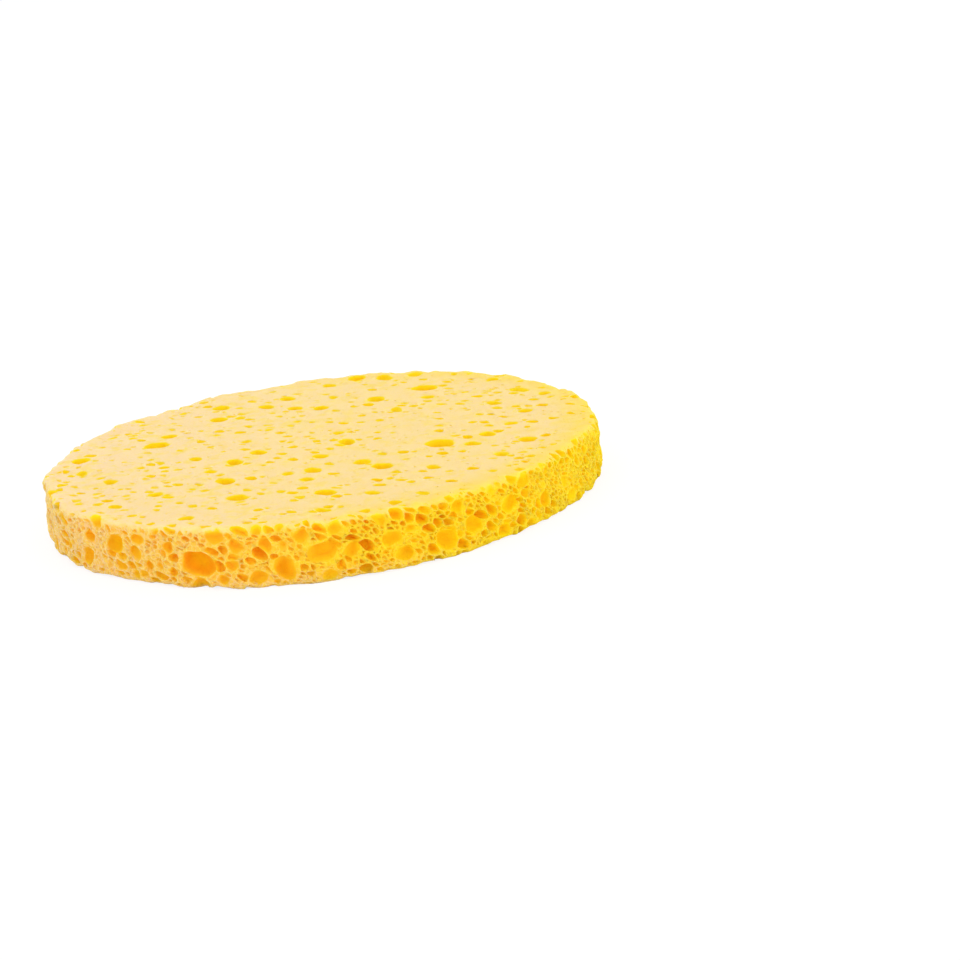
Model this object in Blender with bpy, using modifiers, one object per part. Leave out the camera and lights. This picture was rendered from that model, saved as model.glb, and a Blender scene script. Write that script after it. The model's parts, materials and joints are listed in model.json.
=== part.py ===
"""A round cellulose makeup remover pad, swollen and dry: one disc of open-celled sponge.

The disc is stamped from a sheet of cellulose foam. Its two faces are sawn, and its wall is punched, so
all three show the cells that the blade opened. The cells are bubbles of unlike sizes, flattened a
little from the time that the pad was pressed, with a thin web of cellulose left between neighbours.
The pad lies on its underside, with its origin at the middle of that face and +Z up. The front of the
pad is towards -Y.
"""

import math
import random

import bpy
from mathutils import Matrix, Vector

MM = 0.001

# The disc
DIAMETER = 76.0 * MM
THICKNESS = 8.0 * MM
RIM_RADIUS = 0.7 * MM
WALL_FACETS = 60
RIM_STEPS = 2
RIM_ANGLE = math.radians(60)
# The punched wall wanders in and out in waves: how many there are round the pad, where each starts
# in radians, and how far it stands out.
WALL_WAVES = ((4, 1.57, 0.25 * MM), (7, 2.1, 0.12 * MM), (11, 4.0, 0.08 * MM))

# The cells
WEB = 0.3 * MM
LEAST_CELL = 0.8 * MM
MOST_SCATTERED_CELL = 2.4 * MM
# Cells wider than this are cut with the rounder ball.
ROUNDER_ABOVE = 2.9 * MM
# How deep a cell is for its width, and how far above its middle the blade opened it, as a share of
# half its depth.
FACE_CELL_DEPTH = 0.8
WALL_CELL_DEPTH = 0.9
OPENED_AT = 0.12
# The shapes of scattered cells: length for width on a face, and tallness for width on the wall.
FACE_CELL_LENGTHS = (0.8, 1.3)
WALL_CELL_TALLNESSES = (0.6, 1.0)
WALL_CELL_WIDENING = 1.15
# Most scattered cells are fine: their sizes follow a random share raised to this power.
FINENESS = 2
SCATTERED_ON_TOP = 40
SCATTERED_UNDERNEATH = 50
SCATTERED_ROUND_WALL = 115
TRIES_FOR_EACH = 12
BARE_MIDDLE = 2.5 * MM
# A bubble isn't quite round: its corners are drawn in by up to this share.
DRAWN_IN = 0.15
BUBBLE_SHAPES = 6
# How often a ball's faces are split, and how much wider it is made, because the section of a faceted
# ball is narrower than a true one and the cell's mouth should be as wide as stated.
PLAIN_BALL_SPLITS = 1
PLAIN_BALL_WIDENING = 1.28
ROUNDER_BALL_SPLITS = 2
ROUNDER_BALL_WIDENING = 1.14
SEED = 7

# The cells that stand out on the upper face: how far right and back they are, as shares of the
# radius, and their width and length in millimetres.
TOP_CELLS = (
    (-0.41, 0.68, 1.7, 3.0),
    (-0.23, 0.62, 1.8, 2.2),
    (0.39, 0.63, 3.6, 2.9),
    (0.23, 0.87, 1.9, 3.6),
    (0.12, 0.92, 2.4, 2.6),
    (0.35, 0.86, 1.4, 2.8),
    (0.66, 0.64, 1.4, 2.1),
    (0.20, 0.54, 2.0, 3.0),
    (-0.01, 0.50, 1.9, 2.2),
    (0.03, 0.65, 1.1, 1.9),
    (-0.58, 0.33, 2.2, 1.8),
    (-0.62, 0.22, 3.4, 2.3),
    (-0.89, 0.12, 1.8, 2.8),
    (-0.86, -0.06, 1.2, 2.0),
    (0.40, 0.48, 1.3, 2.0),
    (0.75, 0.43, 1.2, 3.2),
    (0.84, 0.34, 1.6, 2.1),
    (0.65, 0.27, 1.8, 2.1),
    (0.28, 0.34, 1.3, 2.8),
    (0.76, 0.11, 2.0, 1.7),
    (0.10, -0.04, 1.9, 3.0),
    (-0.22, -0.05, 2.0, 2.4),
    (-0.45, -0.04, 1.5, 1.9),
    (-0.30, -0.14, 2.1, 2.6),
    (0.44, -0.21, 3.0, 4.0),
    (0.61, -0.16, 2.1, 2.0),
    (0.75, -0.29, 2.4, 2.3),
    (0.16, -0.34, 2.0, 2.5),
    (0.23, -0.42, 2.8, 2.6),
    (-0.01, -0.37, 1.9, 2.5),
    (-0.10, -0.38, 1.3, 1.8),
    (-0.32, -0.39, 2.3, 2.8),
    (-0.03, -0.48, 2.0, 1.4),
    (-0.74, -0.22, 1.7, 2.2),
    (-0.56, -0.45, 1.8, 1.7),
    (-0.26, -0.61, 2.6, 2.2),
    (0.04, -0.67, 2.6, 2.1),
    (-0.42, -0.79, 1.7, 2.2),
    (0.04, -0.87, 1.8, 1.8),
    (0.20, -0.74, 1.4, 1.9),
    (0.41, -0.51, 1.7, 1.7),
    (0.70, -0.05, 1.5, 1.5),
    (-0.96, -0.25, 2.2, 2.4),
)

# The cells that stand out on the wall: degrees round from +X, height as a share of the thickness,
# and width and tallness in millimetres.
WALL_CELLS = (
    (-152, 0.78, 2.2, 1.7),
    (-152, 0.35, 2.2, 1.5),
    (-144, 0.28, 2.9, 1.9),
    (-139, 0.94, 2.6, 1.9),
    (-134, 0.61, 3.4, 2.7),
    (-128, 0.53, 2.6, 1.5),
    (-127, 0.75, 2.6, 1.4),
    (-125, 0.30, 1.7, 1.3),
    (-122, 0.91, 1.8, 1.1),
    (-119, 0.66, 2.1, 1.6),
    (-119, 0.29, 1.6, 1.5),
    (-113, 0.42, 4.6, 3.3),
    (-108, 0.15, 2.2, 1.3),
    (-109, 0.85, 2.7, 1.5),
    (-105, 0.71, 2.5, 1.6),
    (-106, 0.42, 2.0, 1.5),
    (-96, 0.31, 2.3, 3.2),
    (-101, 0.18, 2.6, 1.8),
    (-99, 0.71, 2.1, 1.7),
    (-89, 0.50, 4.4, 1.9),
    (-83, 0.46, 2.5, 1.7),
    (-88, 0.15, 2.6, 1.5),
    (-92, 0.78, 2.3, 1.5),
    (-86, 0.85, 2.6, 1.4),
    (-75, 0.55, 3.1, 1.9),
    (-73, 0.25, 2.7, 1.8),
    (-77, 0.88, 2.1, 1.4),
    (-64, 0.31, 3.3, 2.3),
    (-61, 0.78, 2.4, 1.7),
    (-58, 0.42, 2.3, 2.3),
    (-49, 0.59, 3.4, 1.9),
    (-44, 0.86, 2.4, 1.8),
    (-38, 0.38, 2.3, 2.4),
)

SPONGE_YELLOW = (0.93, 0.68, 0.30, 1.0)
SPONGE_ROUGHNESS = 0.9

RADIUS = DIAMETER / 2


class Cell:
    """A bubble in the foam, as an ellipsoid turned about +Z, with the axis that it opens along."""

    def __init__(self, centre, half_sizes, turn, opens_along):
        self.centre = Vector(centre)
        self.half_sizes = Vector(half_sizes)
        self.turn = turn
        self.opens_along = opens_along

    def reach(self, direction):
        """How far the bubble reaches from its centre along a unit direction."""
        local = Matrix.Rotation(-self.turn, 3, "Z") @ direction
        return 1 / math.sqrt(sum((along / half) ** 2 for along, half in zip(local, self.half_sizes)))

    def web_to(self, other):
        """The thickness of the web left between this bubble and another, along their centres."""
        between = other.centre - self.centre
        if between.length < WEB:
            return -WEB
        direction = between.normalized()
        return between.length - self.reach(direction) - other.reach(-direction)


def clear_scene():
    """Removes the objects that the scene starts with."""
    for thing in list(bpy.data.objects):
        bpy.data.objects.remove(thing)


def new_collection(name):
    """A collection linked to the scene."""
    collection = bpy.data.collections.new(name)
    bpy.context.scene.collection.children.link(collection)
    return collection


def wall_wander(angle):
    """How far the wall stands out from a true circle at an angle round the pad."""
    return sum(height * math.sin(count * angle + start) for count, start, height in WALL_WAVES)


def make_disc():
    """The stamped disc, with its rims rounded over and no cell opened yet."""
    bpy.ops.mesh.primitive_cylinder_add(
        vertices=WALL_FACETS, radius=RADIUS, depth=THICKNESS, location=(0, 0, THICKNESS / 2)
    )
    disc = bpy.context.object
    disc.name = disc.data.name = "sponge_pad"
    for vertex in disc.data.vertices:
        x, y = vertex.co.x, vertex.co.y
        share = 1 + wall_wander(math.atan2(y, x)) / RADIUS
        vertex.co.x, vertex.co.y = x * share, y * share
    rims = disc.modifiers.new("Rounded rims", "BEVEL")
    rims.width = min(RIM_RADIUS, THICKNESS / 3)
    rims.segments = RIM_STEPS
    rims.limit_method = "ANGLE"
    rims.angle_limit = RIM_ANGLE
    return disc


def face_cell(x, y, width, length, turn, face_height, inward):
    """A bubble opened by a sawn face. Inward is -1 on the upper face and 1 on the underside."""
    half_depth = FACE_CELL_DEPTH * min(width, length) / 2
    height = face_height + inward * OPENED_AT * half_depth
    return Cell((x, y, height), (width / 2, length / 2, half_depth), turn, "Z")


def wall_cell(angle, height, width, tallness):
    """A bubble opened by the punched wall."""
    half_depth = WALL_CELL_DEPTH * min(width, tallness) / 2
    reach = RADIUS + wall_wander(angle) - OPENED_AT * half_depth
    centre = (reach * math.cos(angle), reach * math.sin(angle), height)
    return Cell(centre, (half_depth, width / 2, tallness / 2), angle, "X")


def add_if_clear(cells, cell):
    """Adds a bubble if it is a web clear of those already there, and says whether it did."""
    is_clear = all(cell.web_to(other) >= WEB for other in cells)
    if is_clear:
        cells.append(cell)
    return is_clear


def add_seen_cells(cells):
    """Adds the bubbles that stand out on the real pad, where it has them."""
    for right, back, width, length in TOP_CELLS:
        cell = face_cell(right * RADIUS, back * RADIUS, width * MM, length * MM, 0.0, THICKNESS, -1)
        add_if_clear(cells, cell)
    for degrees, height, width, tallness in WALL_CELLS:
        cell = wall_cell(math.radians(degrees), height * THICKNESS, width * MM, tallness * MM)
        add_if_clear(cells, cell)


def scatter(cells, count, make_one):
    """Adds up to count bubbles made by make_one, each a web clear of those already there."""
    added = 0
    for _ in range(count * TRIES_FOR_EACH):
        if added == count:
            return
        cell = make_one()
        if cell and add_if_clear(cells, cell):
            added += 1


def scattered_size(chance):
    """A bubble's width: most are fine, and few are wide."""
    return LEAST_CELL + (MOST_SCATTERED_CELL - LEAST_CELL) * chance.random() ** FINENESS


def scattered_face_cell(chance, face_height, inward):
    """A bubble at a random place on a sawn face, or None over the bare middle and the rim."""
    angle = chance.uniform(0, 2 * math.pi)
    reach = RADIUS * math.sqrt(chance.random())
    width = scattered_size(chance)
    length = width * chance.uniform(*FACE_CELL_LENGTHS)
    turn = chance.uniform(0, math.pi)
    if reach < BARE_MIDDLE + length or reach > RADIUS - RIM_RADIUS - length / 2:
        return None
    x, y = reach * math.cos(angle), reach * math.sin(angle)
    return face_cell(x, y, width, length, turn, face_height, inward)


def scattered_wall_cell(chance):
    """A bubble at a random place on the wall, its rims too."""
    angle = chance.uniform(-math.pi, math.pi)
    width = WALL_CELL_WIDENING * scattered_size(chance)
    tallness = width * chance.uniform(*WALL_CELL_TALLNESSES)
    return wall_cell(angle, chance.uniform(0, THICKNESS), width, tallness)


def all_cells():
    """Every bubble that the blades opened."""
    chance = random.Random(SEED)
    cells = []
    add_seen_cells(cells)
    scatter(cells, SCATTERED_ROUND_WALL, lambda: scattered_wall_cell(chance))
    scatter(cells, SCATTERED_ON_TOP, lambda: scattered_face_cell(chance, THICKNESS, -1))
    scatter(cells, SCATTERED_UNDERNEATH, lambda: scattered_face_cell(chance, 0.0, 1))
    return cells


def bubble_meshes(name, splits, widening, chance):
    """Balls of about unit radius and unlike shapes, which each cutter scales to its own bubble."""
    meshes = []
    for _ in range(BUBBLE_SHAPES):
        bpy.ops.mesh.primitive_ico_sphere_add(subdivisions=splits, radius=widening)
        ball = bpy.context.object
        mesh = ball.data
        mesh.name = name
        for vertex in mesh.vertices:
            vertex.co *= 1 - DRAWN_IN * chance.random()
        bpy.data.objects.remove(ball)
        meshes.append(mesh)
    return meshes


def make_cutters(cells, collection):
    """One wire cutter for each bubble, with its pole square to the opening."""
    chance = random.Random(SEED)
    round_balls = bubble_meshes("rounder_bubble", ROUNDER_BALL_SPLITS, ROUNDER_BALL_WIDENING, chance)
    plain_balls = bubble_meshes("bubble", PLAIN_BALL_SPLITS, PLAIN_BALL_WIDENING, chance)
    pole_turn = {"Z": Matrix(), "X": Matrix.Rotation(math.pi / 2, 4, "Y")}
    for number, cell in enumerate(cells):
        is_wide = 2 * max(cell.half_sizes) > ROUNDER_ABOVE
        ball = chance.choice(round_balls if is_wide else plain_balls)
        cutter = bpy.data.objects.new(f"bubble_{number:03d}", ball)
        cutter.matrix_world = (
            Matrix.Translation(cell.centre)
            @ Matrix.Rotation(cell.turn, 4, "Z")
            @ Matrix.Diagonal((*cell.half_sizes, 1))
            @ pole_turn[cell.opens_along]
            @ Matrix.Rotation(chance.uniform(0, math.pi), 4, "Z")
        )
        cutter.display_type = "WIRE"
        cutter.hide_render = True
        collection.objects.link(cutter)


def open_cells(disc, cutters):
    """Cuts every bubble from the disc."""
    cut = disc.modifiers.new("Open cells", "BOOLEAN")
    cut.operation = "DIFFERENCE"
    cut.operand_type = "COLLECTION"
    cut.collection = cutters


def sponge_material():
    """Dry yellow cellulose."""
    material = bpy.data.materials.new("cellulose_sponge")
    material.use_nodes = True
    shader = material.node_tree.nodes["Principled BSDF"]
    shader.inputs["Base Color"].default_value = SPONGE_YELLOW
    shader.inputs["Roughness"].default_value = SPONGE_ROUGHNESS
    shader.inputs["Metallic"].default_value = 0.0
    return material


def main():
    """Builds the pad."""
    clear_scene()
    pad_collection = new_collection("Cellulose makeup remover pad")
    cutters = new_collection("Cutters")
    disc = make_disc()
    for collection in disc.users_collection:
        collection.objects.unlink(disc)
    pad_collection.objects.link(disc)
    make_cutters(all_cells(), cutters)
    open_cells(disc, cutters)
    disc.data.materials.append(sponge_material())


main()
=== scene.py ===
"""The looks of a round cellulose makeup remover pad, swollen and dry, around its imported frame.

The pad is one piece of cellulose foam. Its frame node already has the disc and the wide cells that
stand out. Here a copy of that disc is softened, the wide cells of its faces are drawn out aslant, and
the finer foam is cut from it between the wide cells: bubbles that press on one another until only a
thin flat web is left between them. The disc is then warped a little, as such a pad swells unevenly.
"""

import json
import logging
import math
from dataclasses import dataclass, field
from enum import Enum
from typing import Any

import bmesh
import bpy
import numpy as np
from mathutils import Matrix, Vector, noise
from mathutils.bvhtree import BVHTree

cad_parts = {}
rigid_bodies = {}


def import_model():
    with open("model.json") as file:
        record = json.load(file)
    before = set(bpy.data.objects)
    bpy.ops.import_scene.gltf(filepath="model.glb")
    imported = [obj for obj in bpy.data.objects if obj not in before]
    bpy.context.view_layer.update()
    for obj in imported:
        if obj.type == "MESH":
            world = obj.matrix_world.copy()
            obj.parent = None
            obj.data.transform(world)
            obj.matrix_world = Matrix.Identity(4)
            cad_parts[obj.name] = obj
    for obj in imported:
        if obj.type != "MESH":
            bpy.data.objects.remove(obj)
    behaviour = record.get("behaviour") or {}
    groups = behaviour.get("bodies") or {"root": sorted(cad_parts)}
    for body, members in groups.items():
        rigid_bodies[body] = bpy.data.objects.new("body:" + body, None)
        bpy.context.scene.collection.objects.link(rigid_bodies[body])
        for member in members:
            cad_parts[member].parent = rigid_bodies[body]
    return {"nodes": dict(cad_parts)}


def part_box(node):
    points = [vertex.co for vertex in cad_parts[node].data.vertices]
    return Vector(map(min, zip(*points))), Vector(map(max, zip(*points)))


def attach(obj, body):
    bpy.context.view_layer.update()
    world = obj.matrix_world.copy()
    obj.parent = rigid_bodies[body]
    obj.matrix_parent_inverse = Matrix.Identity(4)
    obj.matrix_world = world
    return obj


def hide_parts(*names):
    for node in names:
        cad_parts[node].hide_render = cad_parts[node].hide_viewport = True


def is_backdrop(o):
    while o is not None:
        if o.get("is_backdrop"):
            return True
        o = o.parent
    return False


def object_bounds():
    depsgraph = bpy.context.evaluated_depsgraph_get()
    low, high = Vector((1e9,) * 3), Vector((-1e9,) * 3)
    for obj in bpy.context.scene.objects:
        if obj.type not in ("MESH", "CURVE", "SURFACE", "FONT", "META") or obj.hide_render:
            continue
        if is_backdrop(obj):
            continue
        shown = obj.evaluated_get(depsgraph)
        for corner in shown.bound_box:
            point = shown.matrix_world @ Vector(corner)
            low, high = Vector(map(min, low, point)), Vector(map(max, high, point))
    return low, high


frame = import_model()

MM = 0.001

Colour = tuple[float, float, float, float]
Span = tuple[float, float]
Point = tuple[float, float, float]

WHITE: Colour = (1.0, 1.0, 1.0, 1.0)
NEXT_TO_NOTHING = 1e-9

DEPTH_MARK = "depth_mm"

log = logging.getLogger("pad")


class Side(Enum):
    """The sides of the pad that a blade has opened."""

    TOP = "top"
    UNDERSIDE = "underside"
    WALL = "wall"


def deselect_all() -> None:
    """Deselects every object."""
    bpy.ops.object.select_all(action="DESELECT")


def activate(piece: bpy.types.Object) -> None:
    """Makes a piece the only one selected, and the active one.

    Args:
        piece: The object to work on.
    """
    deselect_all()
    piece.select_set(True)
    bpy.context.view_layer.objects.active = piece


def apply_modifier(piece: bpy.types.Object, kind: str, **settings: Any) -> None:
    """Adds a modifier to a piece and applies it.

    Args:
        piece: The object to change.
        kind: The modifier's type.
        settings: The modifier's settings.
    """
    activate(piece)
    modifier = piece.modifiers.new(kind.title(), kind)
    for name, value in settings.items():
        setattr(modifier, name, value)
    bpy.ops.object.modifier_apply(modifier=modifier.name)


def vertex_places(mesh: bpy.types.Mesh) -> np.ndarray:
    """The places of a mesh's vertices.

    Args:
        mesh: The mesh to read.

    Returns:
        One row of X, Y and Z for each vertex, in metres.
    """
    flat = np.empty(3 * len(mesh.vertices), dtype=np.float32)
    mesh.vertices.foreach_get("co", flat)
    return flat.reshape(-1, 3).astype(np.float64)


def place_vertices(mesh: bpy.types.Mesh, places: np.ndarray) -> None:
    """Moves a mesh's vertices.

    Args:
        mesh: The mesh to change.
        places: One row of X, Y and Z for each vertex, in metres.
    """
    mesh.vertices.foreach_set("co", places.astype(np.float32).ravel())
    mesh.update()


def add_object(name: str, data: bpy.types.ID) -> bpy.types.Object:
    """Adds an object to the scene.

    Args:
        name: The object's name.
        data: Its mesh, lamp or camera.

    Returns:
        The object.
    """
    made = bpy.data.objects.new(name, data)
    bpy.context.scene.collection.objects.link(made)
    return made


class Signal:
    """A value in a node tree, on which plain arithmetic adds Math nodes."""

    def __init__(self, bench: "NodeBench", socket: bpy.types.NodeSocket) -> None:
        """Wraps a socket of a bench's tree."""
        self.bench = bench
        self.socket = socket

    def _maths(self, operation: str, first: Any, second: Any) -> "Signal":
        """Adds one Math node and gives its result."""
        return self.bench.add("ShaderNodeMath", {"operation": operation}, {0: first, 1: second})

    def __add__(self, other: Any) -> "Signal":
        """This value plus another."""
        return self._maths("ADD", self, other)

    def __radd__(self, other: Any) -> "Signal":
        """Another value plus this one."""
        return self._maths("ADD", other, self)

    def __sub__(self, other: Any) -> "Signal":
        """This value less another."""
        return self._maths("SUBTRACT", self, other)

    def __rsub__(self, other: Any) -> "Signal":
        """Another value less this one."""
        return self._maths("SUBTRACT", other, self)

    def __mul__(self, other: Any) -> "Signal":
        """This value times another."""
        return self._maths("MULTIPLY", self, other)

    def __rmul__(self, other: Any) -> "Signal":
        """Another value times this one."""
        return self._maths("MULTIPLY", other, self)

    def ramp(self, low: float, high: float) -> "Signal":
        """A smooth step from 0 at a low value to 1 at a high one.

        Args:
            low: The value at which the step starts.
            high: The value at which it ends.

        Returns:
            A value from 0 to 1.
        """
        settings = {"interpolation_type": "SMOOTHSTEP"}
        inputs = {"Value": self, "From Min": low, "From Max": high}
        return self.bench.add("ShaderNodeMapRange", settings, inputs)


class NodeBench:
    """A material or world node tree under construction.

    The numbers are those of a colour mix's share, first colour and second one, and of its result.
    """

    MIX_INPUTS = (0, 6, 7)
    MIX_OUTPUT = 2

    def __init__(self, tree: bpy.types.NodeTree) -> None:
        """Starts on a tree, with whatever nodes it has."""
        self.tree = tree

    def add(self, kind: str, settings: dict[str, Any], inputs: dict[Any, Any], output: Any = 0) -> Signal:
        """Adds a node.

        Args:
            kind: The node's type.
            settings: The node's own settings, set before its sockets.
            inputs: A value, or a signal to link, for each input by its name or number.
            output: The output to give, by its name or number.

        Returns:
            The output asked for.
        """
        node = self.tree.nodes.new(kind)
        for name, value in settings.items():
            setattr(node, name, value)
        for name, value in inputs.items():
            self.feed(node.inputs[name], value)
        return Signal(self, node.outputs[output])

    def feed(self, socket: bpy.types.NodeSocket, value: Any) -> None:
        """Links a signal to a socket, or sets the socket's own value.

        Args:
            socket: The input to feed.
            value: The signal, or a plain value.
        """
        if isinstance(value, Signal):
            self.tree.links.new(value.socket, socket)
        else:
            socket.default_value = value

    def beside(self, signal: Signal, output: str) -> Signal:
        """Another output of the node that a signal comes from."""
        return Signal(self, signal.socket.node.outputs[output])

    def mix(self, share: Any, first: Any, second: Any) -> Signal:
        """Mixes two colours.

        Args:
            share: How much of the second colour, from 0 to 1.
            first: The first colour.
            second: The second colour.

        Returns:
            The mixed colour.
        """
        node = self.tree.nodes.new("ShaderNodeMix")
        node.data_type = "RGBA"
        for number, value in zip(self.MIX_INPUTS, (share, first, second)):
            self.feed(node.inputs[number], value)
        return Signal(self, node.outputs[self.MIX_OUTPUT])


@dataclass(frozen=True)
class BubbleThrow:
    """A throw of bubbles of like sizes against one side of the pad.

    The widths are the narrowest and the widest. A bubble's middle is sunk under its side by a share of
    its own radius between two bounds, and a negative share is above the side. One that lands too near
    another is thrown again a few times and then dropped. A throw for coarse patches lands only there.
    The detail is how often the faces of each ball are split.
    """

    side: Side
    count: int
    widths: Span
    sunk: Span
    detail: int = 2
    coarse_patches: bool = False


@dataclass(frozen=True)
class Bubble:
    """A bubble, in the stretched, slid and turned space where every bubble is round."""

    middle: Point
    radius: float
    detail: int = 2


class BubbleGrid:
    """Bubbles sorted into the cells of a grid, so that the neighbours of a place are found fast."""

    def __init__(self, step: float) -> None:
        """Starts an empty grid.

        Args:
            step: The width of its cells.
        """
        self.step = step
        self.cells: dict[tuple[int, ...], list[Bubble]] = {}
        self.widest = 0.0

    def add(self, bubble: Bubble) -> None:
        """Sorts a bubble into its cell.

        Args:
            bubble: The bubble to sort in.
        """
        cell = tuple(math.floor(along / self.step) for along in bubble.middle)
        self.cells.setdefault(cell, []).append(bubble)
        self.widest = max(self.widest, bubble.radius)

    def near(self, middle: Point, radius: float, swelling: float = 1.0) -> list[tuple[Bubble, float]]:
        """Finds what may touch a ball.

        Args:
            middle: The ball's middle.
            radius: The ball's radius, with any web round it.
            swelling: How many times its own radius each bubble reaches.

        Returns:
            Each bubble that the ball reaches, with the distance between their middles.
        """
        reach = radius + self.widest * swelling
        spans = [
            range(math.floor((along - reach) / self.step), math.floor((along + reach) / self.step) + 1)
            for along in middle
        ]
        found = []
        for column in spans[0]:
            for row in spans[1]:
                for level in spans[2]:
                    for bubble in self.cells.get((column, row, level), ()):
                        distance = math.dist(bubble.middle, middle)
                        if distance < radius + bubble.radius * swelling:
                            found.append((bubble, distance))
        return found


@dataclass
class Foam:
    """The fine foam of the pad. Bubbles press on one another, and a thin flat web is left between.

    Bubbles are thrown as balls in a space of their own. Brought back to the pad, they are flattened,
    slid sideways by the skew, and turned by the lean over each radius of height. The crowding is the
    least share of their two radii at which the middles of neighbours stand apart. The swelling is how
    many times its radius a bubble reaches where no neighbour stops it, and the raggedness is by how
    much its corners fall short of that. Coarse patches lie where smooth noise is above a level.
    """

    disc: "UncutDisc"
    flattening: float = 0.78
    skew: float = 0.36
    lean: float = 0.45
    patch_size: float = 7.0 * MM
    coarse_above: float = -0.05
    web: float = 0.16 * MM
    crowding: float = 0.7
    swelling: float = 1.36
    raggedness: float = 0.16
    tries_for_each: int = 8
    grid_step: float = 1.2 * MM
    seed: int = 11
    chance: np.random.Generator = field(init=False)

    def __post_init__(self) -> None:
        """Starts the foam's own chance."""
        self.chance = np.random.default_rng(self.seed)

    def _turned(self, places: np.ndarray, lean: float) -> np.ndarray:
        """Turns each place about the pad's middle by its own height, which makes the bubbles lean.

        Args:
            places: One row of X, Y and Z for each place.
            lean: The turn over each radius of height, in radians.

        Returns:
            The places after the turn.
        """
        turns = lean * places[:, 2] / self.disc.reaches[0]
        cosines, sines = np.cos(turns), np.sin(turns)
        x, y = places[:, 0], places[:, 1]
        return np.column_stack((cosines * x - sines * y, sines * x + cosines * y, places[:, 2]))

    def _skewed(self, places: np.ndarray, skew: float) -> np.ndarray:
        """Slides each place to the left by a share of how far back it lies."""
        return np.column_stack((places[:, 0] - skew * places[:, 1], places[:, 1], places[:, 2]))

    def stretched(self, places: np.ndarray) -> np.ndarray:
        """Places on the pad, taken to the space where bubbles are round."""
        return self._skewed(self._turned(places, self.lean) / (1, 1, self.flattening), -self.skew)

    def pressed(self, places: np.ndarray) -> np.ndarray:
        """Places in the space where bubbles are round, brought back to the pad."""
        return self._turned(self._skewed(places, self.skew) * (1, 1, self.flattening), -self.lean)

    def _land(self, throw: BubbleThrow, radius: float) -> Point:
        """Throws one bubble.

        Args:
            throw: The throw that it belongs to.
            radius: Its radius.

        Returns:
            Where its middle lands, in the space where bubbles are round.
        """
        angle = self.chance.uniform(0, 2 * math.pi)
        inward = self.chance.uniform(*throw.sunk) * radius
        wall, thickness = self.disc.wall_reach(angle), self.disc.thickness
        if throw.side is Side.WALL:
            reach = wall - inward
            height = self.chance.uniform(0, thickness)
        else:
            reach = wall * math.sqrt(self.chance.uniform())
            inward *= self.flattening
            height = thickness - inward if throw.side is Side.TOP else inward
        place = np.array([[reach * math.cos(angle), reach * math.sin(angle), height]])
        return tuple(self.stretched(place)[0].tolist())

    def sheet(self, throws: list[BubbleThrow], already: list[Bubble]) -> tuple[list[Bubble], BubbleGrid]:
        """Throws one sheet of bubbles.

        Args:
            throws: The throws, those of the widest bubbles first.
            already: Cells that the pad has, which the bubbles press on but don't replace.

        Returns:
            The bubbles that found room, and the grid of them and of the cells that the pad has.
        """
        grid = BubbleGrid(self.grid_step)
        for bubble in already:
            grid.add(bubble)
        kept = []
        for throw in throws:
            radii = np.sort(self.chance.uniform(*throw.widths, throw.count))[::-1] / 2
            for radius in radii.tolist():
                for _ in range(self.tries_for_each):
                    middle = self._land(throw, radius)
                    coarseness = noise.noise(Vector(middle) / self.patch_size)
                    if throw.coarse_patches and coarseness < self.coarse_above:
                        continue
                    touching = grid.near(middle, radius)
                    if all(apart > self.crowding * (radius + other.radius) for other, apart in touching):
                        bubble = Bubble(middle, radius, throw.detail)
                        grid.add(bubble)
                        kept.append(bubble)
                        break
        return kept, grid

    def _shape(self, bubble: Bubble, grid: BubbleGrid, directions: np.ndarray) -> np.ndarray:
        """The corners of one bubble, drawn in to the webs that it shares with its neighbours.

        Args:
            bubble: The bubble.
            grid: The grid of its neighbours.
            directions: Unit directions to its corners.

        Returns:
            One row of X, Y and Z for each corner, in metres on the pad.
        """
        swollen = bubble.radius * self.swelling
        reach = swollen * (1 - self.raggedness * self.chance.random(len(directions)))
        middle = np.array(bubble.middle)
        for other, apart in grid.near(bubble.middle, swollen, self.swelling):
            if other is bubble:
                continue
            towards = (np.array(other.middle) - middle) / apart
            flat = (apart**2 + bubble.radius**2 - other.radius**2) / (2 * apart) - self.web / 2
            facing = directions @ towards
            limit = np.where(facing > 0, max(flat, 0) / np.maximum(facing, NEXT_TO_NOTHING), np.inf)
            reach = np.minimum(reach, limit)
        corners = middle + directions * np.maximum(reach, self.web / 2)[:, None]
        return self.pressed(corners)

    def cutter(self, name: str, bubbles: list[Bubble], grid: BubbleGrid) -> bpy.types.Object:
        """Makes one mesh of a sheet's bubbles.

        Args:
            name: The cutter's name.
            bubbles: The sheet's bubbles.
            grid: The grid of what they press on.

        Returns:
            The cutter.
        """
        balls = {detail: unit_ball(detail) for detail in {bubble.detail for bubble in bubbles}}
        places, polygons, corner_count = [], [], 0
        for bubble in bubbles:
            directions, faces = balls[bubble.detail]
            angle, axis = self.chance.uniform(0, 2 * math.pi), self.chance.normal(size=3).tolist()
            turn = Matrix.Rotation(angle, 3, axis)
            places.append(self._shape(bubble, grid, directions @ np.array(turn).T))
            polygons.append(faces + corner_count)
            corner_count += len(directions)
        mesh = bpy.data.meshes.new(name)
        mesh.from_pydata(np.concatenate(places).tolist(), [], np.concatenate(polygons).tolist())
        return add_object(name, mesh)


def unit_ball(detail: int) -> tuple[np.ndarray, np.ndarray]:
    """The corners and triangles of a ball of unit radius.

    Args:
        detail: How often its faces are split.

    Returns:
        One row of X, Y and Z for each corner, and one of three corner numbers for each triangle.
    """
    deselect_all()
    bpy.ops.mesh.primitive_ico_sphere_add(subdivisions=detail, radius=1)
    ball = bpy.context.object
    corners = vertex_places(ball.data)
    faces = np.array([tuple(face.vertices) for face in ball.data.polygons])
    bpy.data.objects.remove(ball)
    return corners, faces


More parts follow.
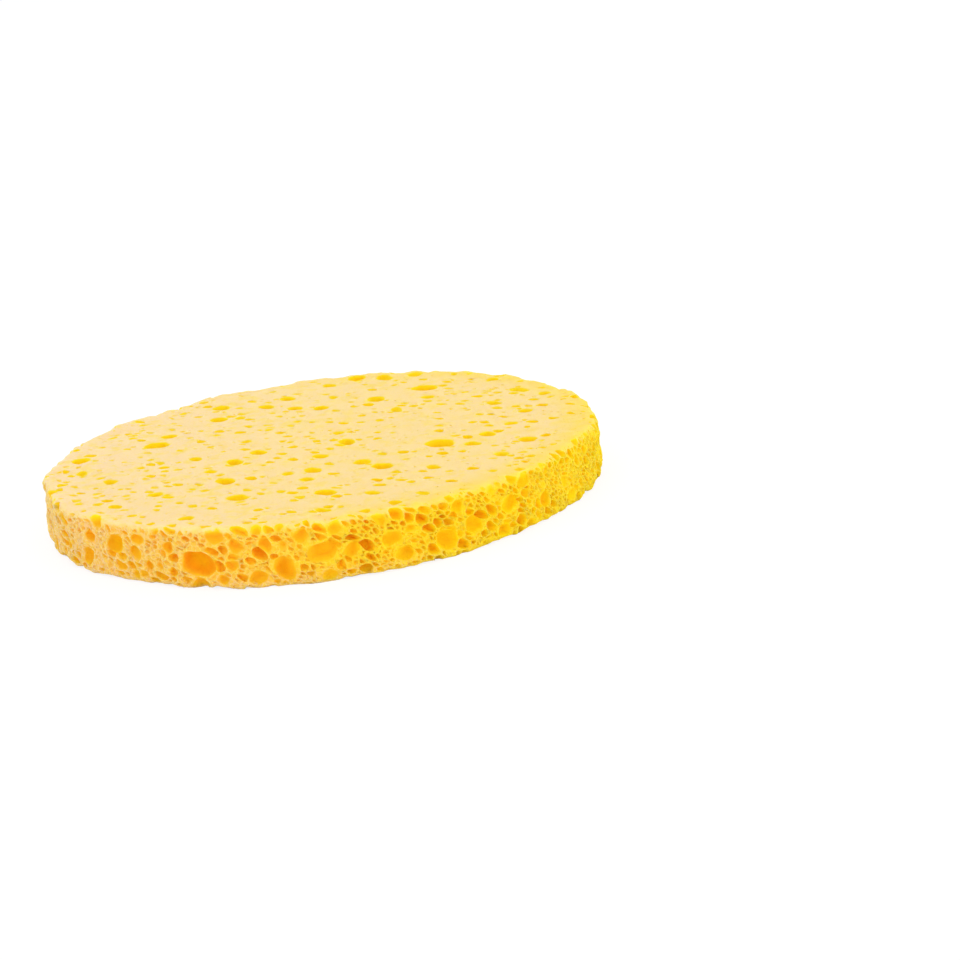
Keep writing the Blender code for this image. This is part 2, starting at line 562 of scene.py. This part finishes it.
class UncutDisc:
    """The disc as it was before any cell was opened: the convex hull of its frame node."""

    WALL_STEPS = 720

    def __init__(self, mesh: bpy.types.Mesh) -> None:
        """Wraps a mesh of the disc in its hull, and measures how far the wall reaches all round.

        Args:
            mesh: The disc with its cells.
        """
        hull = bmesh.new()
        hull.from_mesh(mesh)
        made = bmesh.ops.convex_hull(hull, input=hull.verts)
        inside = {part for part in made["geom_interior"] if isinstance(part, bmesh.types.BMVert)}
        bmesh.ops.delete(hull, geom=list(inside), context="VERTS")
        bmesh.ops.delete(hull, geom=list(set(made["geom_holes"])), context="FACES")
        bmesh.ops.recalc_face_normals(hull, faces=hull.faces)
        self.tree = BVHTree.FromBMesh(hull)
        self.thickness = max(corner.co.z for corner in hull.verts)
        hull.free()
        turns = [2 * math.pi * step / self.WALL_STEPS for step in range(self.WALL_STEPS)]
        self.reaches = [self._reach_towards(turn) for turn in turns]

    def _reach_towards(self, angle: float) -> float:
        """Measures the wall in one direction, at half its height.

        Args:
            angle: The direction, as an angle round the disc.

        Returns:
            How far the wall stands from the middle.
        """
        middle = Vector((0, 0, self.thickness / 2))
        towards = Vector((math.cos(angle), math.sin(angle), 0))
        return self.tree.ray_cast(middle, towards)[3]

    def wall_reach(self, angle: float) -> float:
        """How far the wall stands from the middle at an angle round the disc, read from its steps."""
        return self.reaches[round(angle / (2 * math.pi) * self.WALL_STEPS) % self.WALL_STEPS]

    def depths(self, places: np.ndarray) -> np.ndarray:
        """Measures how deep places lie.

        Args:
            places: One row of X, Y and Z for each place, in metres.

        Returns:
            How far each lies under the uncut disc's surface, in metres, and less than 0 outside it.
        """
        depths = np.empty(len(places))
        for number, place in enumerate(places.tolist()):
            nearest, normal, _, _ = self.tree.find_nearest(place)
            depths[number] = (nearest - Vector(place)).dot(normal)
        return depths


@dataclass(frozen=True)
class CellTones:
    """The colours of one surface of the foam: its skin, and the painted shade of a shallow cell and a deep
    one.
    """

    skin: Colour
    shallow: Colour
    deep: Colour


class PadPoint:
    """A point of the pad, as the sponge's material reads it."""

    def __init__(self, bench: NodeBench, finish: "CelluloseFinish") -> None:
        """Adds the nodes that read the point's place and its mark of depth.

        Args:
            bench: The material's bench.
            finish: The finish, which says where each zone starts and ends.
        """
        self.bench = bench
        self.place = bench.add("ShaderNodeTexCoord", {}, {}, "Object")
        self.depth = bench.add("ShaderNodeAttribute", {"attribute_name": DEPTH_MARK}, {}, "Fac")
        right = bench.add("ShaderNodeSeparateXYZ", {}, {"Vector": self.place}, "X")
        self.height = bench.beside(right, "Z")
        flatten = {0: self.place, 1: (1.0, 1.0, 0.0)}
        level = bench.add("ShaderNodeVectorMath", {"operation": "MULTIPLY"}, flatten)
        self.outward = bench.add("ShaderNodeVectorMath", {"operation": "LENGTH"}, {0: level}, "Value")
        below_rim = 1 - self.height.ramp(*finish.rim_starts)
        self.on_wall = self.outward.ramp(*finish.wall_starts) * below_rim
        # Painted light and shade: each ramp runs from 0 on the pad's left, its lit side, to 1 on its
        # right, its shaded side; the first for the skin, the second for the cells.
        self.shaded_side = right.ramp(*finish.skin_turns)
        self.glow = right.ramp(*finish.cells_turn)

    def cloud(self, size: float, detail: float) -> Signal:
        """Smooth noise of one size, from 0 to 1."""
        inputs = {"Vector": self.place, "Scale": 1 / size, "Detail": detail}
        return self.bench.add("ShaderNodeTexNoise", {}, inputs)


@dataclass(frozen=True)
class CelluloseFinish:
    """Dry yellow cellulose: cream where the blade cut it, with gold to amber painted shade down in its
    cells.

    The sawn faces are the palest, with painted shade that turns them more golden on their right and along
    the right of their rim. The punched wall is peach on the pad's left, a painted lit side, and saturated
    gold on its right, a painted shaded side that glows as light through the foam would, and its foot is
    pale. Each span is where a tint starts and where it is full, in metres from the pad's middle or its
    underside, and for the cells in millimetres of depth.
    The spans of the mottle, the fine web and the pores are levels of the noise that draws them. Each
    share is how much of a tint shows at most.
    """

    # The shallow and deep tones are painted shade and glow, gold to amber, down in the cells.
    face: CellTones = CellTones(
        skin=(1.0, 0.66, 0.34, 1.0), shallow=(1.0, 0.64, 0.008, 1.0), deep=(0.99, 0.55, 0.003, 1.0)
    )
    # Painted light and shade: these wall tones are one material, lit on the pad's left and in shade,
    # glowing gold, on its right.
    lit_left_wall: CellTones = CellTones(
        skin=(0.95, 0.61, 0.28, 1.0), shallow=(0.93, 0.48, 0.014, 1.0), deep=(0.91, 0.32, 0.003, 1.0)
    )
    shaded_right_wall: CellTones = CellTones(
        skin=(1.0, 0.65, 0.032, 1.0), shallow=(1.0, 0.63, 0.004, 1.0), deep=(1.0, 0.52, 0.003, 1.0)
    )
    # Painted shade: the faces' skin on the pad's right, more golden.
    shaded_right_face: Colour = (1.0, 0.66, 0.27, 1.0)
    foot: Colour = (1.0, 0.59, 0.26, 1.0)
    foot_share: float = 0.8
    mottle: Colour = (1.0, 0.66, 0.17, 1.0)
    mottle_share: float = 0.85
    # How much painted glow shows at the right of the rim.
    rim_glow_share: float = 0.6
    # How much painted shade of a shallow cell the finest hollows and pin pores take at most.
    hollow_shade_share: float = 0.55
    pit_shade_share: float = 0.2
    # Where the painted lit left turns into the painted shaded right, for the skin and for the cells, and
    # where the painted glow at the right of the rim starts.
    skin_turns: Span = (-40.0 * MM, 10.0 * MM)
    cells_turn: Span = (-16.0 * MM, 24.0 * MM)
    glow_starts: Span = (31.0 * MM, 38.0 * MM)
    wall_starts: Span = (35.8 * MM, 37.4 * MM)
    rim_starts: Span = (6.9 * MM, 7.9 * MM)
    foot_ends: Span = (0.3 * MM, 2.6 * MM)
    # Depths in millimetres where the painted shade of a shallow cell and of a deep one come in.
    face_shallow_at: Span = (0.0, 0.13)
    wall_shallow_at: Span = (0.02, 0.36)
    deep_at: Span = (0.4, 1.3)
    hollows_end: Span = (0.1, 0.4)
    mottle_edge: Span = (0.5, 0.68)
    fine_web: Span = (0.03, 0.16)
    pore_edge: Span = (0.15, 0.45)
    fine_cell: float = 0.7 * MM
    pore_size: float = 0.45 * MM
    grain_size: float = 0.12 * MM
    grain_detail: float = 2.0
    mottle_size: float = 1.8 * MM
    mottle_detail: float = 3.0
    bump_height: float = 0.08 * MM
    bump_strength: float = 0.8
    grain_relief: float = 0.3
    pit_relief: float = 0.4
    roughness: float = 0.85
    gloss: float = 0.07
    translucency: float = 0.8
    light_reach: tuple[float, float, float] = (1.0, 1.0, 0.25)
    light_depth: float = 1.9 * MM

    def make(self) -> bpy.types.Material:
        """Makes the sponge's material.

        Returns:
            The material, which reads the piece's attribute of depth.
        """
        material = bpy.data.materials.new("dry_cellulose")
        material.use_nodes = True
        point = PadPoint(NodeBench(material.node_tree), self)
        hollow = self._honeycomb(point)
        pit = self._pits(point)
        look = {
            # The base colour carries painted shade in the fine pores too.
            "Base Color": self._colour(point, hollow * self.hollow_shade_share + pit * self.pit_shade_share),
            "Normal": self._bump(point, hollow + pit * self.pit_relief),
            "Roughness": self.roughness,
            "Specular IOR Level": self.gloss,
            "Subsurface Weight": self.translucency,
            "Subsurface Radius": self.light_reach,
            "Subsurface Scale": self.light_depth,
        }
        shader = material.node_tree.nodes["Principled BSDF"]
        for name, value in look.items():
            point.bench.feed(shader.inputs[name], value)
        return material

    def _honeycomb(self, point: PadPoint) -> Signal:
        """The finest cells of the wall's skin.

        Args:
            point: What the material reads.

        Returns:
            1 in their hollows, and 0 on the webs between them and everywhere else.
        """
        inputs = {"Vector": point.place, "Scale": 1 / self.fine_cell}
        edge = point.bench.add("ShaderNodeTexVoronoi", {"feature": "DISTANCE_TO_EDGE"}, inputs, "Distance")
        return edge.ramp(*self.fine_web) * point.on_wall * (1 - point.depth.ramp(*self.hollows_end))

    def _pits(self, point: PadPoint) -> Signal:
        """Scattered pin-pricks.

        Args:
            point: What the material reads.

        Returns:
            1 at the middle of each, and 0 between them.
        """
        inputs = {"Vector": point.place, "Scale": 1 / self.pore_size}
        pores = point.bench.add("ShaderNodeTexVoronoi", {}, inputs, "Distance")
        return 1 - pores.ramp(*self.pore_edge)

    def _skin(self, point: PadPoint) -> Signal:
        """The skin's colour, with its painted lit and shaded sides and painted glow, before any cell tints
        it.

        Args:
            point: What the material reads.

        Returns:
            The colour.
        """
        mix = point.bench.mix
        blotch = point.cloud(self.mottle_size, self.mottle_detail).ramp(*self.mottle_edge)
        # Painted glow: near the rim on the right, the face takes the gold of the shaded wall.
        rim_glow = point.outward.ramp(*self.glow_starts) * point.glow
        # Painted shade: the face's skin turns more golden towards the right.
        face = mix(point.shaded_side, self.face.skin, self.shaded_right_face)
        face = mix(blotch * self.mottle_share, face, self.mottle)
        face = mix(rim_glow * self.rim_glow_share, face, self.shaded_right_wall.skin)
        pale_foot = (1 - point.height.ramp(*self.foot_ends)) * (1 - point.glow * point.glow)
        # Painted light and shade: the wall's skin goes from lit peach on the left to shaded gold on the
        # right.
        wall = mix(point.shaded_side, self.lit_left_wall.skin, self.shaded_right_wall.skin)
        wall = mix(pale_foot * self.foot_share, wall, self.foot)
        return mix(point.on_wall, face, wall)

    def _colour(self, point: PadPoint, pores: Signal) -> Signal:
        """The colour of the whole pad, with its painted shade and light.

        Args:
            point: What the material reads.
            pores: How far the painted shade of a shallow cell tints the skin in the finest pores.

        Returns:
            The colour.
        """
        mix = point.bench.mix
        # The cells' painted shade follows the same painted lit left and shaded right.
        shallow = mix(point.glow, self.lit_left_wall.shallow, self.shaded_right_wall.shallow)
        shallow = mix(point.on_wall, self.face.shallow, shallow)
        deep = mix(point.glow, self.lit_left_wall.deep, self.shaded_right_wall.deep)
        deep = mix(point.on_wall, self.face.deep, deep)
        # Painted shade: the deeper a point lies in a cell, the more gold to amber it turns.
        in_wall_cell = point.depth.ramp(*self.wall_shallow_at) * point.on_wall
        in_face_cell = point.depth.ramp(*self.face_shallow_at) * (1 - point.on_wall)
        # Painted shade: the finest pores take the shallow cells' tone.
        colour = mix(pores, self._skin(point), shallow)
        colour = mix(in_wall_cell + in_face_cell, colour, shallow)
        return mix(point.depth.ramp(*self.deep_at), colour, deep)

    def _bump(self, point: PadPoint, hollows: Signal) -> Signal:
        """The relief that is too fine for the mesh.

        Args:
            point: What the material reads.
            hollows: How far the finest pores are sunk in the grain.

        Returns:
            The normal.
        """
        relief = point.cloud(self.grain_size, self.grain_detail) * self.grain_relief - hollows
        inputs = {"Height": relief, "Distance": self.bump_height, "Strength": self.bump_strength}
        return point.bench.add("ShaderNodeBump", {}, inputs)


@dataclass(frozen=True)
class Warp:
    """A smooth unevenness: how far it pushes, over what length, and its shares inside and upwards.

    The shares are what is left of the push away from the wall, and of its height there.
    """

    strength: float
    size: float
    inside: float
    upward: float


WALL_THROWS = (
    BubbleThrow(Side.WALL, 400, widths=(1.5 * MM, 2.8 * MM), sunk=(-0.75, -0.25), coarse_patches=True),
    BubbleThrow(Side.WALL, 1300, widths=(0.9 * MM, 1.5 * MM), sunk=(-0.75, -0.25), coarse_patches=True),
    BubbleThrow(Side.WALL, 800, widths=(0.8 * MM, 1.3 * MM), sunk=(-0.75, -0.3)),
    BubbleThrow(Side.WALL, 3800, widths=(0.5 * MM, 0.95 * MM), sunk=(-0.75, -0.25), detail=1),
)


def face_throws(side: Side) -> tuple[BubbleThrow, ...]:
    """The throws against one sawn face: its deep pores, its shallow dents and its pin pores.

    Args:
        side: The top or the underside.

    Returns:
        The three throws.
    """
    return (
        BubbleThrow(side, 190, widths=(0.9 * MM, 1.7 * MM), sunk=(-0.65, -0.3)),
        BubbleThrow(side, 260, widths=(1.0 * MM, 2.2 * MM), sunk=(-1.0, -0.8)),
        BubbleThrow(side, 600, widths=(0.45 * MM, 0.9 * MM), sunk=(-0.95, -0.6), detail=1),
    )


@dataclass
class SpongePad:
    """The swollen sponge disc, with its fine foam.

    A corner of the frame node's mesh that lies deeper than in_a_cell belongs to a wide cell. A wide
    cell of the faces is skewed in full out to the first of its skew_fades and not at all past the
    second, both as shares of its radius. The warp grows from calm_until out to the wall.
    """

    node: str = "sponge_pad"
    name: str = "swollen_sponge"
    weld: float = 0.0001 * MM
    face_cell_within: float = 0.3 * MM
    face_cell_growth: float = 0.12
    skewed_until: float = 34.0 * MM
    skew_fades: Span = (1.15, 1.9)
    remesh_step: float = 0.28 * MM
    softening: float = 0.5
    soften_steps: int = 2
    waviness: float = 0.14 * MM
    wave_size: float = 2.5 * MM
    wave_detail: int = 2
    warps: tuple[Warp, ...] = (
        Warp(0.5 * MM, 6.5 * MM, inside=0.15, upward=1.0),
        Warp(0.35 * MM, 3.0 * MM, inside=0.4, upward=0.5),
        Warp(0.3 * MM, 1.3 * MM, inside=0.8, upward=0.3),
    )
    calm_until: float = 30.0 * MM
    warp_seed: int = 10
    warp_spread: float = 200.0
    disc_triangles: int = 50_000
    most_triangles: int = 195_000
    in_a_cell: float = 0.06 * MM
    crease: float = math.radians(50)
    finish: CelluloseFinish = field(default_factory=CelluloseFinish)
    thickness: float = field(init=False)
    radius: float = field(init=False)
    disc: UncutDisc = field(init=False)

    def __post_init__(self) -> None:
        """Reads the disc's own sizes from its frame node."""
        low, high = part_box(self.node)
        self.thickness = float(high[2] - low[2])
        self.radius = float(high[0] - low[0] + high[1] - low[1]) / 4

    def build(self) -> bpy.types.Object:
        """Models the pad.

        Returns:
            The finished piece.
        """
        piece = self._copy_of_node()
        self.disc = UncutDisc(piece.data)
        foam = Foam(self.disc)
        wide_cells = self._find_cells(piece.data, foam)
        log.info("%s: %d cells in its frame node", self.name, len(wide_cells))
        self._skew_face_cells(piece, foam, wide_cells)
        apply_modifier(piece, "REMESH", mode="VOXEL", voxel_size=self.remesh_step)
        apply_modifier(piece, "SMOOTH", factor=self.softening, iterations=self.soften_steps)
        self._wave(piece)
        self._thin(piece, self.disc_triangles)
        self._cut_foam(piece, foam, wide_cells)
        self._drop_sealed_bubbles(piece)
        apply_modifier(piece, "TRIANGULATE")
        self._thin(piece, self.most_triangles)
        self._mark_depth(piece)
        self._warp(piece)
        activate(piece)
        bpy.ops.object.shade_smooth_by_angle(angle=self.crease)
        piece.data.materials.clear()
        piece.data.materials.append(self.finish.make())
        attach(piece, "root")
        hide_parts(self.node)
        log.info("%s: %d triangles", self.name, len(piece.data.polygons))
        return piece

    def _copy_of_node(self) -> bpy.types.Object:
        """Copies the frame node as one closed mesh.

        Returns:
            The copy, with its doubles merged.
        """
        node = frame["nodes"][self.node]
        mesh = node.data.copy()
        mesh.transform(node.matrix_world)
        piece = add_object(self.name, mesh)
        activate(piece)
        bpy.ops.object.mode_set(mode="EDIT")
        bpy.ops.mesh.select_all(action="SELECT")
        bpy.ops.mesh.remove_doubles(threshold=self.weld)
        bpy.ops.object.mode_set(mode="OBJECT")
        return piece

    def _find_cells(self, mesh: bpy.types.Mesh, foam: Foam) -> list[Bubble]:
        """Finds the wide cells that the frame node has.

        Args:
            mesh: The node's mesh, with its doubles merged.
            foam: The foam that will press on them.

        Returns:
            One bubble for each cell, about as wide as its mouth.
        """
        places = vertex_places(mesh)
        is_inside = self.disc.depths(places) > self.in_a_cell
        group = list(range(len(places)))

        def first_of(number: int) -> int:
            """Finds the first corner of the group that a corner belongs to.

            Args:
                number: The corner's number.

            Returns:
                The first corner's number.
            """
            while group[number] != number:
                group[number] = group[group[number]]
                number = group[number]
            return number

        rims: list[tuple[int, int]] = []
        for one, other in (tuple(edge.vertices) for edge in mesh.edges):
            if is_inside[one] and is_inside[other]:
                group[first_of(one)] = first_of(other)
            elif is_inside[one] != is_inside[other]:
                rims.append((one, other) if is_inside[one] else (other, one))
        mouths: dict[int, set[int]] = {}
        for inner, outer in rims:
            mouths.setdefault(first_of(inner), set()).add(outer)
        cells = []
        for mouth in mouths.values():
            ring = foam.stretched(places[list(mouth)])
            middle = ring.mean(axis=0)
            radius = float(np.linalg.norm(ring - middle, axis=1).mean())
            cells.append(Bubble(tuple(middle.tolist()), radius))
        return cells

    def _skew_face_cells(self, piece: bpy.types.Object, foam: Foam, wide_cells: list[Bubble]) -> None:
        """Draws the wide cells of the two faces out aslant, as the fine ones are.

        Args:
            piece: The disc with its wide cells.
            foam: The foam, which says how far they slide.
            wide_cells: The cells that the disc has.
        """
        places = vertex_places(piece.data)
        sits_high = places[:, 2] > self.thickness / 2
        for cell in wide_cells:
            middle = foam.pressed(np.array([cell.middle]))[0]
            is_on_face = min(middle[2], self.thickness - middle[2]) < self.face_cell_within
            if not is_on_face or math.hypot(middle[0], middle[1]) > self.skewed_until:
                continue
            offsets = places[:, :2] - middle[:2]
            near = np.hypot(offsets[:, 0], offsets[:, 1]) / cell.radius
            fade = np.clip((self.skew_fades[1] - near) / (self.skew_fades[1] - self.skew_fades[0]), 0, 1)
            fade *= sits_high == (middle[2] > self.thickness / 2)
            places[:, 0] -= foam.skew * fade * offsets[:, 1]
            places[:, 1] += self.face_cell_growth * fade * offsets[:, 1]
        place_vertices(piece.data, places)

    def _cut_foam(self, piece: bpy.types.Object, foam: Foam, wide_cells: list[Bubble]) -> None:
        """Cuts the fine foam from the piece.

        Args:
            piece: The disc with its wide cells.
            foam: The foam that throws the bubbles.
            wide_cells: The cells that the disc has.
        """
        throws = [*WALL_THROWS, *face_throws(Side.TOP), *face_throws(Side.UNDERSIDE)]
        bubbles, grid = foam.sheet(throws, wide_cells)
        cutter = foam.cutter("bubbles", bubbles, grid)
        apply_modifier(piece, "BOOLEAN", object=cutter, operation="DIFFERENCE", solver="MANIFOLD")
        bpy.data.objects.remove(cutter)
        log.info("%s: %d bubbles cut, %d faces", self.name, len(bubbles), len(piece.data.polygons))

    def _drop_sealed_bubbles(self, piece: bpy.types.Object) -> None:
        """Deletes the bubbles that no side opens, and keeps the one shell that shows.

        Args:
            piece: The piece with its foam cut.
        """
        places = vertex_places(piece.data)
        outermost = int(np.argmax(np.hypot(places[:, 0], places[:, 1])))
        activate(piece)
        bpy.ops.object.mode_set(mode="EDIT")
        bpy.ops.mesh.select_mode(type="VERT")
        bpy.ops.mesh.select_all(action="DESELECT")
        bpy.ops.object.mode_set(mode="OBJECT")
        piece.data.vertices[outermost].select = True
        bpy.ops.object.mode_set(mode="EDIT")
        bpy.ops.mesh.select_linked()
        bpy.ops.mesh.select_all(action="INVERT")
        bpy.ops.mesh.delete(type="VERT")
        bpy.ops.object.mode_set(mode="OBJECT")

    def _warp(self, piece: bpy.types.Object) -> None:
        """Warps the piece, most at its wall, and keeps it on or above the surface that it lies on.

        Args:
            piece: The piece to warp.
        """
        places = vertex_places(piece.data)
        outward = np.hypot(places[:, 0], places[:, 1])
        towards_wall = np.clip((outward - self.calm_until) / (self.radius - self.calm_until), 0, 1) ** 2
        for warp in self.warps:
            share = warp.inside + (1 - warp.inside) * towards_wall
            upward = warp.upward + (1 - warp.upward) * towards_wall
            pushes = self._pushes(places / warp.size)
            pushes[:, 2] *= upward
            places += warp.strength * share[:, None] * pushes
        places[:, 2] = np.maximum(places[:, 2], 0)
        place_vertices(piece.data, places)

    def _pushes(self, places: np.ndarray) -> np.ndarray:
        """A smooth uneven push for each place, the same in every run.

        Args:
            places: The places, measured in the length of the unevenness.

        Returns:
            One row of X, Y and Z for each place, each from -1 to 1.
        """
        starts = np.random.default_rng(self.warp_seed).uniform(0, self.warp_spread, (3, 3))
        offsets = [Vector(start) for start in starts.tolist()]
        spots = [Vector(place) for place in places.tolist()]
        return np.array([[noise.noise(spot + offset) for offset in offsets] for spot in spots])

    def _wave(self, piece: bpy.types.Object) -> None:
        """Gives the sawn and punched faces their slight unevenness.

        Args:
            piece: The piece to change.
        """
        texture = bpy.data.textures.new("uneven", "CLOUDS")
        texture.noise_scale = self.wave_size
        texture.noise_depth = self.wave_detail
        apply_modifier(piece, "DISPLACE", texture=texture, strength=self.waviness)
        bpy.data.textures.remove(texture)

    def _thin(self, piece: bpy.types.Object, most: int) -> None:
        """Thins the piece to a number of triangles, if it has more.

        Args:
            piece: The piece to thin.
            most: The most triangles that it may keep.
        """
        triangles = sum(len(face.vertices) - 2 for face in piece.data.polygons)
        if triangles > most:
            apply_modifier(piece, "DECIMATE", ratio=most / triangles)
        log.info("%s: thinned from %d to %d faces", self.name, triangles, len(piece.data.polygons))

    def _mark_depth(self, piece: bpy.types.Object) -> None:
        """Stores how far each point lies under the uncut disc, in millimetres.

        Args:
            piece: The piece to mark.
        """
        depths = self.disc.depths(vertex_places(piece.data))
        mark = piece.data.attributes.new(DEPTH_MARK, "FLOAT", "POINT")
        mark.data.foreach_set("value", (np.maximum(depths, 0) / MM).astype(np.float32))


@dataclass(frozen=True)
class SoftLamp:
    """A square lamp that points at the pad: where it stands, the side of its square, and its watts."""

    name: str
    place: Point
    width: float
    power: float

    def add(self) -> None:
        """Adds the lamp to the scene."""
        data = bpy.data.lights.new(self.name, "AREA")
        data.size = self.width
        data.energy = self.power
        place = Vector(self.place)
        aim = place.to_track_quat("Z", "Y").to_matrix().to_4x4()
        add_object(self.name, data).matrix_world = Matrix.Translation(place) @ aim


@dataclass
class Studio:
    """A plain pale floor, soft lamps, and the camera at the photograph's angle.

    The floor glows white where it is looked at, and the shadow's share is how much of it shows its true
    light instead. The glow is a little over white, which makes up for what that share lacks far off.
    """

    frame_pixels: float = 960.0
    focal_pixels: float = 2400.0
    sensor_width: float = 36.0
    elevation: float = math.radians(16.22)
    roll: float = math.radians(-6.6)
    distance: float = 332.0 * MM
    nearest_seen: float = 10.0 * MM
    top_centre_pixel: tuple[float, float] = (319.7, 441.5)
    floor_half_width: float = 3.0
    floor_gap: float = 0.05 * MM
    shadow_share: float = 0.2
    floor_glow: float = 1.05
    floor_colour: Colour = (0.97, 0.97, 0.97, 1.0)
    world_strength: float = 0.86
    lamps: tuple[SoftLamp, ...] = (
        SoftLamp("key", (-0.35, -0.35, 0.75), width=0.5, power=0.4),
        SoftLamp("front_left", (-0.5, -0.55, 0.1), width=0.6, power=1.1),
        SoftLamp("front_right", (0.5, -0.5, 0.1), width=0.6, power=2.15),
        SoftLamp("back", (-0.1, 0.72, 0.25), width=0.6, power=1.2),
    )

    def build(self, top_height: float) -> None:
        """Sets up the whole studio.

        Args:
            top_height: The height of the pad's upper face.
        """
        bpy.context.scene.view_settings.view_transform = "Standard"
        self._add_camera(top_height)
        self._add_floor()
        for lamp in self.lamps:
            lamp.add()
        self._light_world()

    def _add_camera(self, top_height: float) -> None:
        """Adds the camera so that the upper face's middle falls on its pixel of the photograph.

        Args:
            top_height: The height of the pad's upper face.
        """
        back = Vector((0, -math.cos(self.elevation), math.sin(self.elevation)))
        level_right = Vector((1, 0, 0))
        level_up = back.cross(level_right)
        right = math.cos(self.roll) * level_right + math.sin(self.roll) * level_up
        up = back.cross(right)
        centre = self.frame_pixels / 2
        aside = (self.top_centre_pixel[0] - centre) / self.focal_pixels * self.distance
        above = (centre - self.top_centre_pixel[1]) / self.focal_pixels * self.distance
        place = Vector((0, 0, top_height)) - aside * right - above * up + self.distance * back
        data = bpy.data.cameras.new("camera")
        data.sensor_width = self.sensor_width
        data.lens = self.focal_pixels * self.sensor_width / self.frame_pixels
        data.clip_start = self.nearest_seen
        camera = add_object("camera", data)
        camera.matrix_world = Matrix.Translation(place) @ Matrix((right, up, back)).transposed().to_4x4()
        bpy.context.scene.camera = camera

    def _add_floor(self) -> None:
        """Adds the pale floor, which shows white and keeps the pad's shadow."""
        deselect_all()
        bpy.ops.mesh.primitive_plane_add(size=2 * self.floor_half_width, location=(0, 0, -self.floor_gap))
        floor = bpy.context.object
        floor.name = "floor"
        material = bpy.data.materials.new("pale_floor")
        material.use_nodes = True
        tree = material.node_tree
        tree.nodes.clear()
        bench = NodeBench(tree)
        seen = seen_straight(bench)
        lit = bench.add("ShaderNodeBsdfDiffuse", {}, {"Color": self.floor_colour})
        glow = bench.add("ShaderNodeEmission", {}, {"Color": WHITE, "Strength": self.floor_glow})
        both = bench.add("ShaderNodeMixShader", {}, {0: seen * (1 - self.shadow_share), 1: lit, 2: glow})
        output = tree.nodes.new("ShaderNodeOutputMaterial")
        tree.links.new(both.socket, output.inputs["Surface"])
        floor.data.materials.append(material)
        floor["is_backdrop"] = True

    def _light_world(self) -> None:
        """Lights the pad evenly from all round, and shows white to the camera."""
        world = bpy.data.worlds.new("studio")
        world.use_nodes = True
        bpy.context.scene.world = world
        tree = world.node_tree
        tree.nodes.clear()
        bench = NodeBench(tree)
        seen = seen_straight(bench)
        strength = seen + (1 - seen) * self.world_strength
        glow = bench.add("ShaderNodeBackground", {}, {"Color": WHITE, "Strength": strength})
        output = tree.nodes.new("ShaderNodeOutputWorld")
        tree.links.new(glow.socket, output.inputs["Surface"])


def seen_straight(bench: NodeBench) -> Signal:
    """Tells the rays that look from those that light the pad.

    Args:
        bench: The bench of the tree that uses it.

    Returns:
        1 for a ray from the camera or off glossy or clear stuff, and 0 for light on its way to the pad.
    """
    camera = bench.add("ShaderNodeLightPath", {}, {}, "Is Camera Ray")
    seen = camera + bench.beside(camera, "Is Glossy Ray") + bench.beside(camera, "Is Transmission Ray")
    return seen.ramp(0, 1)


def corners(box: Any) -> list[list[float]]:
    """A box's two corners as plain lists.

    Args:
        box: The lowest and the highest corner.

    Returns:
        The same corners, ready for a JSON file.
    """
    return [[float(value) for value in corner] for corner in box]


def main() -> None:
    """Builds the pad and the studio."""
    logging.basicConfig(level=logging.INFO, format="%(message)s")
    frame_box = corners(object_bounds())
    pad = SpongePad()
    pad.build()
    Studio().build(pad.thickness)
    corners(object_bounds())


if __name__ == "__main__":
    main()
